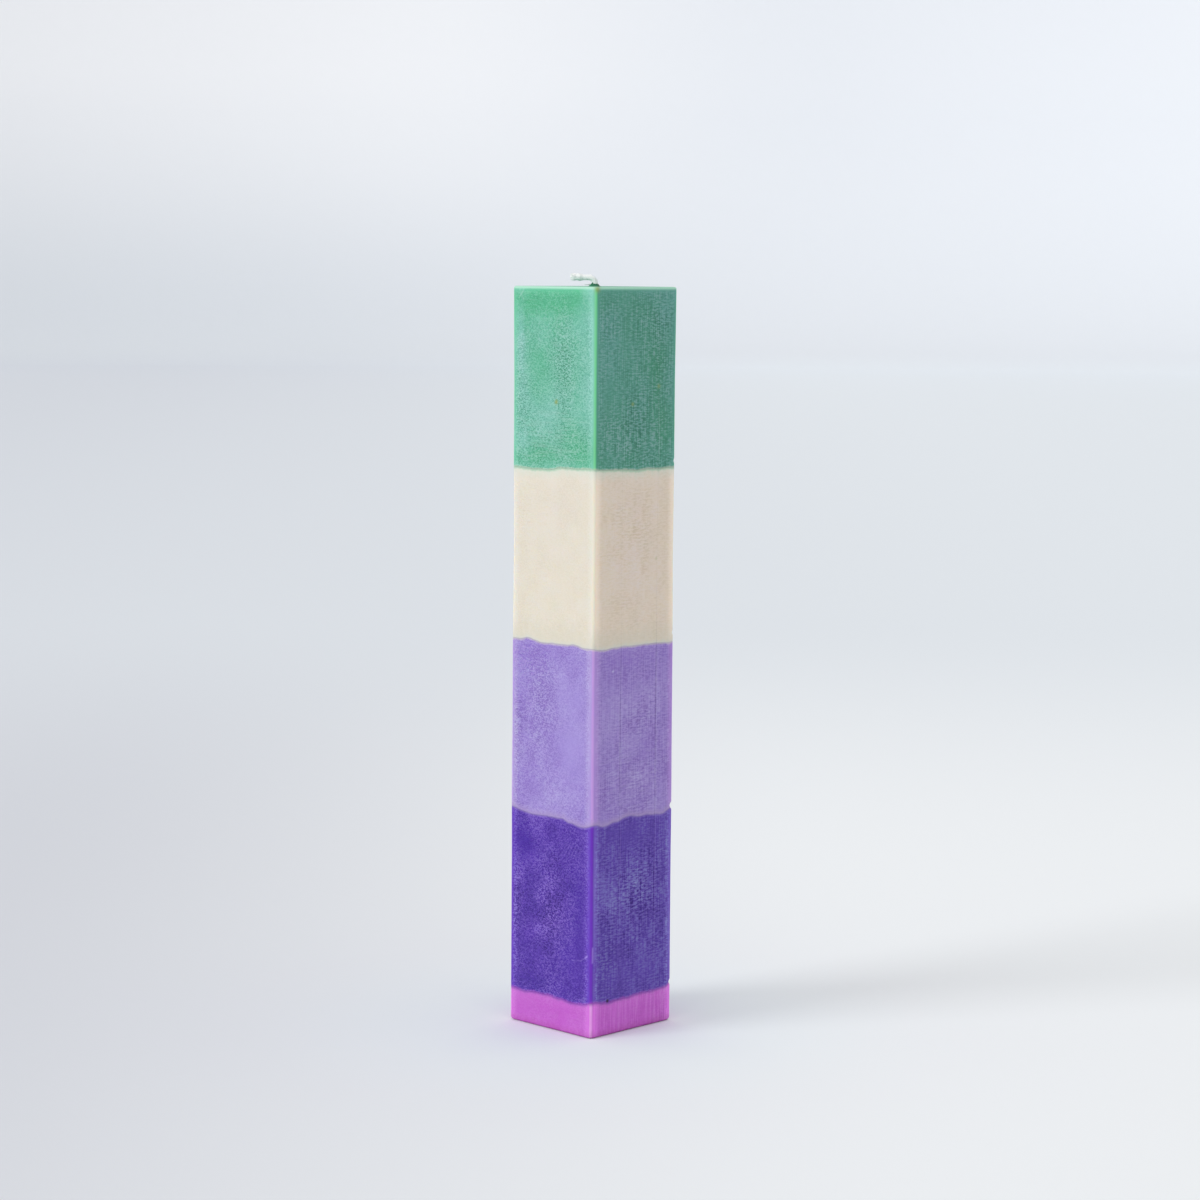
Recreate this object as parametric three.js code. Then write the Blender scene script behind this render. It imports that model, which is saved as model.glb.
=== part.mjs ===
// A tall square pillar candle, cast in five colours round one cotton wick.
//
// Millimetres, +Z up, origin at the middle of the foot. The front upright edge stands at -X, -Y.
// The mould holds the candle head down, so the green end is poured first and the magenta foot last.
// Each pour sinks round the wick while it sets, and the next pour fills that hollow, so the joints
// are wavy at the wall and domed inside, and the two waxes share one surface.

import * as THREE from "three";
import { mergeVertices } from "three/addons/utils/BufferGeometryUtils.js";

// Square body
const SIDE = 40;
const UPRIGHT_EDGE_RADIUS = 1.4;
const TOP_EDGE_RADIUS = 0.7;
const FOOT_EDGE_RADIUS = 1.15;

// Height of each pour at the wall, from the foot up
const MAGENTA_HEIGHT = 11.7;
const VIOLET_HEIGHT = 62.2;
const LAVENDER_HEIGHT = 59.9;
const CREAM_HEIGHT = 59.7;
const GREEN_HEIGHT = 61.5;

// How far the wax draws in as it cools: down round the wick, in at the upright edges, in at mid-face
const POUR_SINK = 2.5;
const EDGE_DRAW = 0.18;
const FACE_DRAW = 0.14;

// Wick, and the nib of wax that climbs its root
const WICK_DIAMETER = 1.9;
const WICK_CLEARANCE = 0.3;
const WICK_FOOT_RECESS = 0.5;
const WICK_BEND_RADIUS = 2;
const WICK_BEND = THREE.MathUtils.degToRad(86);
const WICK_BEARING = THREE.MathUtils.degToRad(135);
const WICK_FREE_LENGTH = 3.6;
const TUFT_DIAMETER = 2.6;
const TUFT_LENGTH = 3.2;
const NIB_HEIGHT = 0.8;
const NIB_WIDTH = 4.4;

// Fineness of the faces
const EDGE_STEPS = 4;
const SIDE_STEPS = 10;
const WALL_STEPS = 8;
const JOINT_STEPS = 6;
const ROLL_STEPS = 4;
const NIB_STEPS = 3;
const WICK_SIDES = 12;
const BEND_STEPS = 8;
const TUFT_STEPS = 6;

const HALF = SIDE / 2;
const BORE_RADIUS = WICK_DIAMETER / 2 + WICK_CLEARANCE;

// A swell of a joint: its place round the wall from the front edge, towards +X, its rise and its reach
function swell(place, rise, reach) {
  return { place, rise, reach };
}

const MAGENTA_VIOLET_SWELLS = [
  swell(-33, -0.5, 6),
  swell(-9, -0.7, 8),
  swell(1, 0.7, 6),
  swell(9, -0.5, 7),
  swell(25, 0.4, 9),
  swell(41, 1.2, 8),
  swell(68, -0.5, 14),
  swell(103, 0.5, 13),
];
const VIOLET_LAVENDER_SWELLS = [
  swell(-40, 1.6, 8),
  swell(-20, 0.3, 9),
  swell(-5, -1.5, 8),
  swell(6, -1.2, 6),
  swell(18, 0.8, 8),
  swell(41, 1.1, 7),
  swell(66, -0.7, 15),
  swell(96, 0.6, 14),
];
const LAVENDER_CREAM_SWELLS = [
  swell(-33, 1.1, 10),
  swell(-10, 0.7, 8),
  swell(5, -0.7, 8),
  swell(33, -0.5, 16),
  swell(62, 0.6, 13),
  swell(90, -0.7, 14),
];
const CREAM_GREEN_SWELLS = [
  swell(-29, -0.5, 12),
  swell(-6, 0.8, 17),
  swell(22, -0.4, 9),
  swell(60, 0.5, 15),
  swell(92, -0.5, 14),
];

// Outline of the body, anticlockwise seen from above, starting at the front upright edge
function bodyOutline() {
  const reach = HALF - UPRIGHT_EDGE_RADIUS;
  const corners = [[-reach, -reach], [reach, -reach], [reach, reach], [-reach, reach]];
  const edges = corners.map(([x, y], turn) => {
    const start = Math.PI + (turn * Math.PI) / 2;
    const arc = new THREE.EllipseCurve(
      x, y, UPRIGHT_EDGE_RADIUS, UPRIGHT_EDGE_RADIUS, start, start + Math.PI / 2,
    );
    return arc.getPoints(EDGE_STEPS);
  });
  return edges.flatMap((edge, turn) => {
    const next = edges[(turn + 1) % edges.length];
    const face = new THREE.LineCurve(edge[EDGE_STEPS], next[0]);
    return [...edge, ...face.getPoints(SIDE_STEPS).slice(1, -1)];
  });
}

const OUTLINE = bodyOutline();

// Distance round the wall from the front edge
function wallPlace({ x, y }) {
  if (Math.abs(y) >= Math.abs(x)) {
    return y < 0 ? HALF + x : 2 * SIDE + HALF - x;
  }
  return x > 0 ? SIDE + HALF + y : 3 * SIDE + HALF - y;
}

function swellHeight(swells, place) {
  const girth = 4 * SIDE;
  let height = 0;
  for (const { place: crest, rise, reach } of swells) {
    const ahead = THREE.MathUtils.euclideanModulo(place - crest + girth / 2, girth) - girth / 2;
    if (Math.abs(ahead) < reach) {
      height += (rise * (1 + Math.cos((Math.PI * ahead) / reach))) / 2;
    }
  }
  return height;
}

// A point of a level surface: 0 at the wall, 1 at the bore of the wick
function planPoint(point, inward, height) {
  const bore = point.clone().setLength(BORE_RADIUS);
  const plan = point.clone().lerp(bore, inward);
  return new THREE.Vector3(plan.x, plan.y, height);
}

// The surface that two pours share, as rings from the wall in to the bore
function jointSurface(level, swells) {
  return Array.from({ length: JOINT_STEPS + 1 }, (_, step) => {
    const inward = step / JOINT_STEPS;
    const dome = POUR_SINK * THREE.MathUtils.smoothstep(inward, 0, 1);
    const fade = (1 - inward) ** 2;
    return OUTLINE.map((point) => {
      const wave = fade * swellHeight(swells, wallPlace(point));
      return planPoint(point, inward, level + dome + wave);
    });
  });
}

// Rings of a rolled edge, from the wall (full size) onto the level end of the body
function rolledEdge(level, radius, up) {
  const roll = Math.min(radius, UPRIGHT_EDGE_RADIUS);
  return Array.from({ length: ROLL_STEPS + 1 }, (_, step) => {
    const turn = (step / ROLL_STEPS) * (Math.PI / 2);
    const size = 1 - (roll * (1 - Math.cos(turn))) / HALF;
    const height = level - up * roll * (1 - Math.sin(turn));
    return OUTLINE.map(({ x, y }) => new THREE.Vector3(x * size, y * size, height));
  });
}

function footSurface() {
  const bore = OUTLINE.map((point) => planPoint(point, 1, 0));
  return [...rolledEdge(0, FOOT_EDGE_RADIUS, -1), bore];
}

// The level top, with the nib of wax that has crept up the root of the wick
function topSurface(level) {
  const spread = NIB_WIDTH / 2 - BORE_RADIUS;
  const nib = Array.from({ length: NIB_STEPS + 1 }, (_, step) => {
    const climb = step / NIB_STEPS;
    const radius = BORE_RADIUS + spread * (1 - climb);
    const height = level + NIB_HEIGHT * climb ** 2;
    return OUTLINE.map((point) => {
      const plan = point.clone().setLength(radius);
      return new THREE.Vector3(plan.x, plan.y, height);
    });
  });
  return [...rolledEdge(level, TOP_EDGE_RADIUS, 1), ...nib];
}

// The outer wall between two rims, drawn in a little between them
function wallRings(lowRim, highRim) {
  return Array.from({ length: WALL_STEPS + 1 }, (_, step) => {
    const climb = (1 - Math.cos((Math.PI * step) / WALL_STEPS)) / 2;
    const hollow = 1 - (2 * climb - 1) ** 4;
    return lowRim.map((low, index) => {
      const point = low.clone().lerp(highRim[index], climb);
      const fromMiddle = Math.min(Math.abs(point.x), Math.abs(point.y)) / HALF;
      const draw = hollow * (EDGE_DRAW + FACE_DRAW * (1 - fromMiddle ** 2));
      const size = 1 - draw / HALF;
      return new THREE.Vector3(point.x * size, point.y * size, point.z);
    });
  });
}

// Skins between successive rings. Every quad is split the same way, so that two pours that share
// rings share their triangles as well.
function skin(rings, inwards = false) {
  const triangles = [];
  for (let level = 1; level < rings.length; level += 1) {
    const [low, high] = [rings[level - 1], rings[level]];
    low.forEach((corner, index) => {
      const next = (index + 1) % low.length;
      const pair = [[corner, low[next], high[next]], [corner, high[next], high[index]]];
      triangles.push(...pair.map((triangle) => (inwards ? triangle.reverse() : triangle)));
    });
  }
  return triangles;
}

// A flat or domed end over one ring
function cap(ring, middle, inwards = false) {
  return ring.map((corner, index) => {
    const triangle = [corner, ring[(index + 1) % ring.length], middle];
    return inwards ? triangle.reverse() : triangle;
  });
}

function solidOf(triangles) {
  const geometry = new THREE.BufferGeometry().setFromPoints(triangles.flat());
  const solid = mergeVertices(geometry);
  solid.computeVertexNormals();
  return solid;
}

function pourSolid(under, over) {
  return solidOf([
    ...skin(wallRings(under[0], over[0])),
    ...skin(over),
    ...skin(under, true),
    ...skin([under.at(-1), over.at(-1)], true),
  ]);
}

// The wick's middle line in its own upright plane: through the bore, over the bend, out to the tip.
// Each stop has its place (out, up), its direction (turned from upright) and its radius.
function wickStops(levels) {
  const top = levels.at(-1);
  const radius = WICK_DIAMETER / 2;
  const straight = [WICK_FOOT_RECESS, ...levels.slice(1, -1), top + NIB_HEIGHT];
  const stops = straight.map((up) => ({ out: 0, up, turn: 0, radius }));
  const bendFoot = top + NIB_HEIGHT;
  for (let step = 1; step <= BEND_STEPS; step += 1) {
    const turn = (WICK_BEND * step) / BEND_STEPS;
    const out = WICK_BEND_RADIUS * (1 - Math.cos(turn));
    stops.push({ out, up: bendFoot + WICK_BEND_RADIUS * Math.sin(turn), turn, radius });
  }
  const bendEnd = stops.at(-1);
  for (let step = 0; step <= TUFT_STEPS; step += 1) {
    const along = step / TUFT_STEPS;
    const length = WICK_FREE_LENGTH + TUFT_LENGTH * along;
    const swollen = Math.sin(Math.PI * along ** 0.8);
    const blunt = 1 - 0.35 * along ** 4;
    stops.push({
      out: bendEnd.out + length * Math.sin(WICK_BEND),
      up: bendEnd.up + length * Math.cos(WICK_BEND),
      turn: WICK_BEND,
      radius: blunt * (radius + (TUFT_DIAMETER / 2 - radius) * swollen),
    });
  }
  return stops;
}

function wickSolid(levels) {
  const outwards = new THREE.Vector3(Math.cos(WICK_BEARING), Math.sin(WICK_BEARING), 0);
  const upwards = new THREE.Vector3(0, 0, 1);
  const sideways = upwards.clone().cross(outwards);
  const place = (out, up) => outwards.clone().multiplyScalar(out).addScaledVector(upwards, up);
  const stops = wickStops(levels);
  const rings = stops.map(({ out, up, turn, radius }) => {
    const across = place(Math.cos(turn), -Math.sin(turn));
    return Array.from({ length: WICK_SIDES }, (_, side) => {
      const angle = (2 * Math.PI * side) / WICK_SIDES;
      return place(out, up)
        .addScaledVector(across, radius * Math.cos(angle))
        .addScaledVector(sideways, radius * Math.sin(angle));
    });
  });
  const foot = stops[0];
  const tip = stops.at(-1);
  return solidOf([
    ...skin(rings),
    ...cap(rings[0], place(foot.out, foot.up), true),
    ...cap(rings.at(-1), place(tip.out, tip.up)),
  ]);
}

function piece(name, geometry, color, roughness) {
  const material = new THREE.MeshStandardMaterial({ color, roughness, metalness: 0 });
  const mesh = new THREE.Mesh(geometry, material);
  mesh.name = name;
  return mesh;
}

const heights = [MAGENTA_HEIGHT, VIOLET_HEIGHT, LAVENDER_HEIGHT, CREAM_HEIGHT, GREEN_HEIGHT];
const levels = [0];
heights.forEach((height) => levels.push(levels.at(-1) + height));

const surfaces = [
  footSurface(),
  jointSurface(levels[1], MAGENTA_VIOLET_SWELLS),
  jointSurface(levels[2], VIOLET_LAVENDER_SWELLS),
  jointSurface(levels[3], LAVENDER_CREAM_SWELLS),
  jointSurface(levels[4], CREAM_GREEN_SWELLS),
  topSurface(levels[5]),
];

const WAXES = [
  { name: "magenta_wax_foot", color: 0xc566ce },
  { name: "violet_wax_layer", color: 0x6145ad },
  { name: "lavender_wax_layer", color: 0xa48fd6 },
  { name: "cream_wax_layer", color: 0xe7dfd0 },
  { name: "green_wax_layer", color: 0x78c0aa },
];
const WAX_ROUGHNESS = 0.5;

const candle = new THREE.Group();
WAXES.forEach(({ name, color }, index) => {
  const geometry = pourSolid(surfaces[index], surfaces[index + 1]);
  candle.add(piece(name, geometry, color, WAX_ROUGHNESS));
});
candle.add(piece("cotton_wick", wickSolid(levels), 0xf2f2ee, 0.9));

export default candle;
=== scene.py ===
import math

import bmesh
import bpy
import numpy as np
from mathutils import Matrix, Vector


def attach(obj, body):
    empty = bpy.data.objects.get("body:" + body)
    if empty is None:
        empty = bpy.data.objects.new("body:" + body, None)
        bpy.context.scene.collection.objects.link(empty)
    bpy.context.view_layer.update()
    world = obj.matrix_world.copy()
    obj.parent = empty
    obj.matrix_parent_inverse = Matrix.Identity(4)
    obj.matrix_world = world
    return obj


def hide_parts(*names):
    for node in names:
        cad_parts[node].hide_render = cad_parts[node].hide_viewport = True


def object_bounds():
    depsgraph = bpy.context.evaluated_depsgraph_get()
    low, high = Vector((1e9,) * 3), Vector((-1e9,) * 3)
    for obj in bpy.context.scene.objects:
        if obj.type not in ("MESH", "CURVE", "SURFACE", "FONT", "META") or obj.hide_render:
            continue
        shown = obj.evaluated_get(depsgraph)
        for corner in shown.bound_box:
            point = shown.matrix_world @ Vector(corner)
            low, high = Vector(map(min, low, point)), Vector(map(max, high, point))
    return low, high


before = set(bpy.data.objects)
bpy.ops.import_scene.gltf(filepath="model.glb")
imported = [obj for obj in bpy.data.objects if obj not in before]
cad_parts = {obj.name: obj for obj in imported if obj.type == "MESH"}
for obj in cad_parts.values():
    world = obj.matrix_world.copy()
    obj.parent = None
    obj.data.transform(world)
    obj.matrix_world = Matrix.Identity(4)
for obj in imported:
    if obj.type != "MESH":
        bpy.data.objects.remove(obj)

CAD_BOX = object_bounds()
MM = 0.001

# Camera
# A long lens a metre away, its eye a hair above the top of the candle. It dips towards the front upright
# edge, and leans and turns by a fraction of a degree.
EYE_DISTANCE = 1027.2 * MM
EYE_HEIGHT = 260.1 * MM
EYE_BEARING = math.radians(224.53)
EYE_TURN = math.radians(0.133)
EYE_DIP = math.radians(6.254)
EYE_ROLL = math.radians(0.425)

heading = EYE_BEARING + math.pi - EYE_TURN
ahead = Vector((
    math.cos(heading) * math.cos(EYE_DIP),
    math.sin(heading) * math.cos(EYE_DIP),
    -math.sin(EYE_DIP),
))
across = Vector((math.sin(heading), -math.cos(heading), 0))
upright = across.cross(ahead)
roll = Matrix.Rotation(-EYE_ROLL, 3, ahead)

lens = bpy.data.cameras.new("long_lens")
lens.lens = 90
lens.sensor_width = 36
lens.clip_end = 50
camera = bpy.data.objects.new("camera", lens)
camera.location = (EYE_DISTANCE * math.cos(EYE_BEARING), EYE_DISTANCE * math.sin(EYE_BEARING), EYE_HEIGHT)
camera.rotation_euler = Matrix((roll @ across, roll @ upright, -ahead)).transposed().to_euler()
bpy.context.scene.collection.objects.link(camera)
bpy.context.scene.camera = camera
bpy.context.scene.view_settings.view_transform = "Standard"

# Studio
# A sweep of matt paper that rises all round, so that every side of the candle is seen against paper. Its
# tone shifts a little from side to side and up the wall: painted light and shade. A pale room fills in the
# shadows, and one soft lamp stands low on the left.
FLOOR_RADIUS = 7.0
SWEEP_RADIUS = 0.7
SWEEP_HEIGHT = 1.05
SWEEP_STEPS = 12
SWEEP_SIDES = 96
# Painted light and shade: the paper is darker low on the lamp's side, and lighter far from it and high up
PAPER_NEAR_LAMP = (0.71, 0.73, 0.785, 1)
PAPER_FAR_SIDE = (0.94, 0.965, 0.99, 1)
# A painted light round the foot, against the candle's shade and magenta bounce on the paper
PAPER_LIGHT_BY_FOOT = (1.012, 1.045, 1.03, 1)
PAPER_BEHIND_LEFT = (0.72, 0.752, 0.808, 1)
PAPER_BEHIND_RIGHT = (0.83, 0.873, 0.918, 1)
PAPER_LOW_WALL_LEFT = (0.735, 0.77, 0.815, 1)
PAPER_LOW_WALL_RIGHT = (0.775, 0.805, 0.848, 1)
PAPER_HIGH_LEFT = (0.98, 0.985, 1.0, 1)
PAPER_HIGH_RIGHT = (0.85, 0.87, 0.905, 1)
PAPER_ROUGHNESS = 0.9
PAPER_SHINE = 0.1
LAMP_BEARING = math.radians(160)
LAMP_CLIMB = math.radians(19)
LAMP_BREADTH = math.radians(27)
LAMP_POWER = 1.42
ROOM_COLOUR = (0.755, 0.755, 0.755, 1)

# Where each tone of the paper gives way to the next, in metres across, behind and above the foot
ACROSS_CLOSE_BY = (-0.3, 0.13)
ROUND_THE_FOOT = (0.03, 0.13)
ACROSS_BEHIND = (-1.3, 0.7)
FROM_FOOT_TO_BEHIND = (0.2, 1.2)
FOOT_OF_WALL = (0.0, 0.05)
WALL_EASE = 0.5
ACROSS_HIGH = (-0.7, 0.7)
UP_THE_WALL = (0.1, 0.86)

sweep = bmesh.new()
profile = [sweep.verts.new((0, 0, 0)), sweep.verts.new((FLOOR_RADIUS, 0, 0))]
for step in range(1, SWEEP_STEPS + 1):
    turn = math.pi / 2 * step / SWEEP_STEPS
    rise = SWEEP_RADIUS * (1 - math.cos(turn))
    profile.append(sweep.verts.new((FLOOR_RADIUS + SWEEP_RADIUS * math.sin(turn), 0, rise)))
profile.append(sweep.verts.new((FLOOR_RADIUS + SWEEP_RADIUS, 0, SWEEP_HEIGHT)))
seams = [sweep.edges.new(pair) for pair in zip(profile, profile[1:])]
bmesh.ops.spin(
    sweep, geom=profile + seams, cent=(0, 0, 0), axis=(0, 0, 1), angle=2 * math.pi, steps=SWEEP_SIDES,
    use_merge=True,
)
bmesh.ops.remove_doubles(sweep, verts=sweep.verts, dist=0.01 * MM)
bmesh.ops.recalc_face_normals(sweep, faces=sweep.faces)
sweep_mesh = bpy.data.meshes.new("paper_sweep")
sweep.to_mesh(sweep_mesh)
sweep.free()
sweep_mesh.polygons.foreach_set("use_smooth", [True] * len(sweep_mesh.polygons))
paper_sweep = bpy.data.objects.new("paper_sweep", sweep_mesh)
bpy.context.scene.collection.objects.link(paper_sweep)


def add_node(tree, kind, inputs=None, output=0, **settings):
    """Adds a node, sets its options, sets or wires its inputs, and returns one of its outputs."""
    node = tree.nodes.new(kind)
    for option, value in settings.items():
        setattr(node, option, value)
    for socket, value in (inputs or {}).items():
        if isinstance(value, bpy.types.NodeSocket):
            tree.links.new(value, node.inputs[socket])
        else:
            node.inputs[socket].default_value = value
    return node.outputs[output]


def ramp(tree, value, start, end, low=0.0, high=1.0):
    """Runs smoothly from low, where value is start, to high, where it is end, and stays there."""
    ends = {"Value": value, "From Min": start, "From Max": end, "To Min": low, "To Max": high}
    return add_node(tree, "ShaderNodeMapRange", ends, interpolation_type="SMOOTHSTEP")


# A Mix node takes its share at socket 0, numbers at 2 and 3, and colours at 6 and 7
def blend(tree, amount, first, second, kind="MIX"):
    """Takes the first colour towards the second one, or towards the product of the two."""
    inputs = {0: amount, 6: first, 7: second}
    return add_node(tree, "ShaderNodeMix", inputs, 2, data_type="RGBA", blend_type=kind)


def between(tree, amount, first, second):
    """A number that goes from the first to the second as amount goes from 0 to 1."""
    return add_node(tree, "ShaderNodeMix", {0: amount, 2: first, 3: second})


def calculate(tree, operation, first, second):
    """One sum on two numbers."""
    return add_node(tree, "ShaderNodeMath", {0: first, 1: second}, operation=operation)


paper = bpy.data.materials.new("matt_paper")
paper.use_nodes = True
tree = paper.node_tree
place = add_node(tree, "ShaderNodeTexCoord", output="Object")
sideways = add_node(tree, "ShaderNodeVectorMath", {0: place, 1: across}, "Value", operation="DOT_PRODUCT")
behind = add_node(tree, "ShaderNodeVectorMath", {0: place, 1: ahead}, "Value", operation="DOT_PRODUCT")
height = add_node(tree, "ShaderNodeSeparateXYZ", {0: place}, "Z")
from_middle = add_node(tree, "ShaderNodeVectorMath", {0: place}, "Value", operation="LENGTH")
close_tone = blend(tree, ramp(tree, sideways, *ACROSS_CLOSE_BY), PAPER_NEAR_LAMP, PAPER_FAR_SIDE)
# Painted light round the foot
light_by_foot = ramp(tree, from_middle, *ROUND_THE_FOOT, low=1.0, high=0.0)
close_tone = blend(tree, light_by_foot, close_tone, PAPER_LIGHT_BY_FOOT, "MULTIPLY")
behind_tone = blend(tree, ramp(tree, sideways, *ACROSS_BEHIND), PAPER_BEHIND_LEFT, PAPER_BEHIND_RIGHT)
wall_tone = blend(tree, ramp(tree, sideways, *ACROSS_BEHIND), PAPER_LOW_WALL_LEFT, PAPER_LOW_WALL_RIGHT)
high_tone = blend(tree, ramp(tree, sideways, *ACROSS_HIGH), PAPER_HIGH_LEFT, PAPER_HIGH_RIGHT)
on_wall = calculate(tree, "POWER", ramp(tree, height, *FOOT_OF_WALL), WALL_EASE)
tone = blend(tree, ramp(tree, behind, *FROM_FOOT_TO_BEHIND), close_tone, behind_tone)
tone = blend(tree, on_wall, tone, wall_tone)
tone = blend(tree, ramp(tree, height, *UP_THE_WALL), tone, high_tone)
shader = tree.nodes["Principled BSDF"]
tree.links.new(tone, shader.inputs["Base Color"])
shader.inputs["Roughness"].default_value = PAPER_ROUGHNESS
shader.inputs["Specular IOR Level"].default_value = PAPER_SHINE
sweep_mesh.materials.append(paper)

room = bpy.data.worlds.new("white_room")
room.use_nodes = True
room.node_tree.nodes["Background"].inputs["Color"].default_value = ROOM_COLOUR
bpy.context.scene.world = room

lamp = bpy.data.lights.new("soft_lamp", "SUN")
lamp.energy = LAMP_POWER
lamp.angle = LAMP_BREADTH
soft_lamp = bpy.data.objects.new("soft_lamp", lamp)
towards_lamp = Vector((
    math.cos(LAMP_BEARING) * math.cos(LAMP_CLIMB),
    math.sin(LAMP_BEARING) * math.cos(LAMP_CLIMB),
    math.sin(LAMP_CLIMB),
))
soft_lamp.rotation_euler = towards_lamp.to_track_quat("Z", "Y").to_euler()
bpy.context.scene.collection.objects.link(soft_lamp)

# Green wax
# The first pour, at the closed end of the mould, which stands as the top of the candle: dyed wax, cast
# against the mould. It drew in as it cooled, a frost of fine crystals came out on it, and it left a nib
# where it climbs the wick.

# Sizes of the candle, in millimetres. A place is a distance round the wall from the front edge.
SIDE = 40.0
HALF = SIDE / 2
GIRTH = 4 * SIDE
UPRIGHT_EDGE_RADIUS = 1.4
TOP_EDGE_RADIUS = 0.7
BORE_RADIUS = 1.05
TOP_LEVEL = 255.0
GREEN_CREAM_LEVEL = 193.5
POUR_SINK = 2.5
LEFT_EDGE = 120.0
COLUMNS = 440
ROW_HEIGHT = 0.345

# Swells of the joint at the wall: place round it from the front edge, rise and reach, in millimetres
GREEN_CREAM_SWELLS = [
    (-29, -0.5, 12), (-6, 0.8, 17), (22, -0.4, 9), (60, 0.5, 15), (92, -0.5, 14),
    (-22, -0.25, 4), (-16, 0.3, 3.5), (-8, -0.3, 6), (10, 0.15, 8), (25, 0.2, 4), (31, -0.25, 5),
]

# Heights, and how far the wall has drawn in from the mould's line at each
DRAW_LEVELS = [0, 11.7, 60, 76, 104, 134, 164, 193.5, 224, 243, 255]
DRAW_DEPTHS = [0, 0, 0.08, 0, 0.1, 0.12, 0.34, 0.2, 0.22, 0.06, 0]

# Score lines that the mould left from top to foot: place, depth and half width. They fade in and out.
SCORES = [(13.45, 0.09, 0.2), (31.1, 0.14, 0.14), (66.0, 0.06, 0.2), (97.5, 0.07, 0.2)]
SCORE_LEVELS = [0, 20, 45, 75, 130, 136, 165, 190, 200, 225, 255]
SCORE_SHARES = [0.6, 0.7, 1.2, 1.3, 1.3, 0.5, 0.25, 0.4, 1.1, 0.6, 0.6]
SCORE_LEAN = 0.003
MIDDLE_LEVEL = 127.0

# Nicks in the upright edges: place, height, depth, half width and half height
NICKS = [
    (40, 195.8, 0.35, 1.2, 0.8), (40, 136.5, 0.35, 1.2, 0.9), (40, 76.1, 0.95, 1.6, 1.4),
    (40, 13.7, 0.6, 1.3, 1.1), (0.2, 75.4, 0.3, 0.9, 0.6), (0.4, 30.5, 0.2, 0.6, 2.2),
    (119, 52, 0.2, 0.9, 1.4), (80.3, 140, 0.25, 0.8, 1.2), (80, 32, 0.3, 0.9, 0.7),
    (79.8, 221, 0.2, 0.8, 1.1),
]

# Fine scratches: place and height of both ends, half width and strength
SCRATCHES = [
    (144.8, 63.4, 147.2, 66.6, 0.14, 0.12), (145.6, 62.4, 148.6, 66.8, 0.14, 0.15),
    (146.8, 62.0, 150.0, 66.9, 0.14, 0.17), (148.2, 61.6, 151.4, 66.6, 0.14, 0.17),
    (149.6, 61.4, 152.8, 66.2, 0.14, 0.17), (151.0, 61.2, 154.0, 65.8, 0.14, 0.15),
    (152.4, 61.4, 155.2, 65.4, 0.14, 0.14), (153.8, 62.2, 156.2, 65.6, 0.14, 0.12),
    (150.4, 26.0, 155.2, 26.5, 0.14, 0.25), (155.2, 26.5, 157.0, 27.7, 0.14, 0.3),
    (157.4, 27.9, 158.2, 28.5, 0.3, 0.75), (123.0, 251.0, 125.5, 254.0, 0.2, 0.3),
    (123.4, 254.2, 125.2, 250.4, 0.2, 0.25), (9.4, 125.5, 9.7, 125.6, 0.3, 0.7),
    (96, 171, 101, 173.5, 0.14, 0.3), (62, 96, 69, 99, 0.14, 0.35), (63, 93.8, 68, 95.4, 0.14, 0.3),
    (90, 34, 93, 39, 0.14, 0.35), (0.5, 26.5, 0.6, 31.5, 0.3, 0.55),
]

# Level drag lines low on the lavender and on the green: first and last middle, lowest and highest level,
# lean and strength
DRAG_BANDS = [(5, 34, 77, 97, 0.09, 0.2), (127, 151, 197, 213, 0.0, 0.26)]
DRAG_LINES = 40
DRAG_REACH = (2, 6)
DRAG_STRAY = (-0.1, 0.1)
DRAG_WEAR = (0.4, 1.0)
DRAG_HALF_WIDTH = 0.17
DRAG_SEED = 9
dice = np.random.default_rng(DRAG_SEED)
for first, last, lowest, highest, lean, strength in DRAG_BANDS:
    for line in range(DRAG_LINES):
        middle = dice.uniform(first, last)
        level = lowest + (highest - lowest) * (line + dice.uniform(0, 1)) / DRAG_LINES
        reach = dice.uniform(*DRAG_REACH)
        rise = reach * lean + dice.uniform(*DRAG_STRAY)
        SCRATCHES.append((
            middle - reach, level - rise, middle + reach, level + rise, DRAG_HALF_WIDTH,
            strength * dice.uniform(*DRAG_WEAR),
        ))

# Specks of yellow dye: place, height, radius, and strength, which is below 0 for a dark crumb
SPECKS = [
    (141.3, 216.2, 0.75, 0.9), (18.4, 215.6, 0.6, 0.7), (31.3, 221.4, 0.7, 0.5), (0.6, 254.2, 1.1, 0.7),
    (7.9, 12.1, 0.5, -1.8), (30.9, 162.6, 0.5, 0.35), (52, 228, 0.6, 0.7), (73, 201, 0.5, 0.6),
    (107, 240, 0.6, 0.7),
]


def from_place(place, centre):
    """Distance round the wall from a centre to a place, the short way."""
    return (place - centre + GIRTH / 2) % GIRTH - GIRTH / 2


def lumps(place, height, wide, tall, seed):
    """Smooth random heights from -1 to 1, a cell wide by tall to each, that close up round the wall."""
    columns = max(1, round(GIRTH / wide))
    rows = math.ceil(2 * TOP_LEVEL / tall)
    peaks = np.random.default_rng(seed).uniform(-1, 1, (columns, rows))
    u = (place % GIRTH) / GIRTH * columns
    v = (np.asarray(height) + HALF) / tall
    column = np.floor(u).astype(int)
    row = np.floor(v).astype(int)
    s = u - column
    t = v - row
    s = s * s * (3 - 2 * s)
    t = t * t * (3 - 2 * t)
    near, far = column % columns, (column + 1) % columns
    low = peaks[near, row % rows] * (1 - s) + peaks[far, row % rows] * s
    high = peaks[near, (row + 1) % rows] * (1 - s) + peaks[far, (row + 1) % rows] * s
    return low * (1 - t) + high * t


JOINT_WAVER = 0.06


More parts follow.
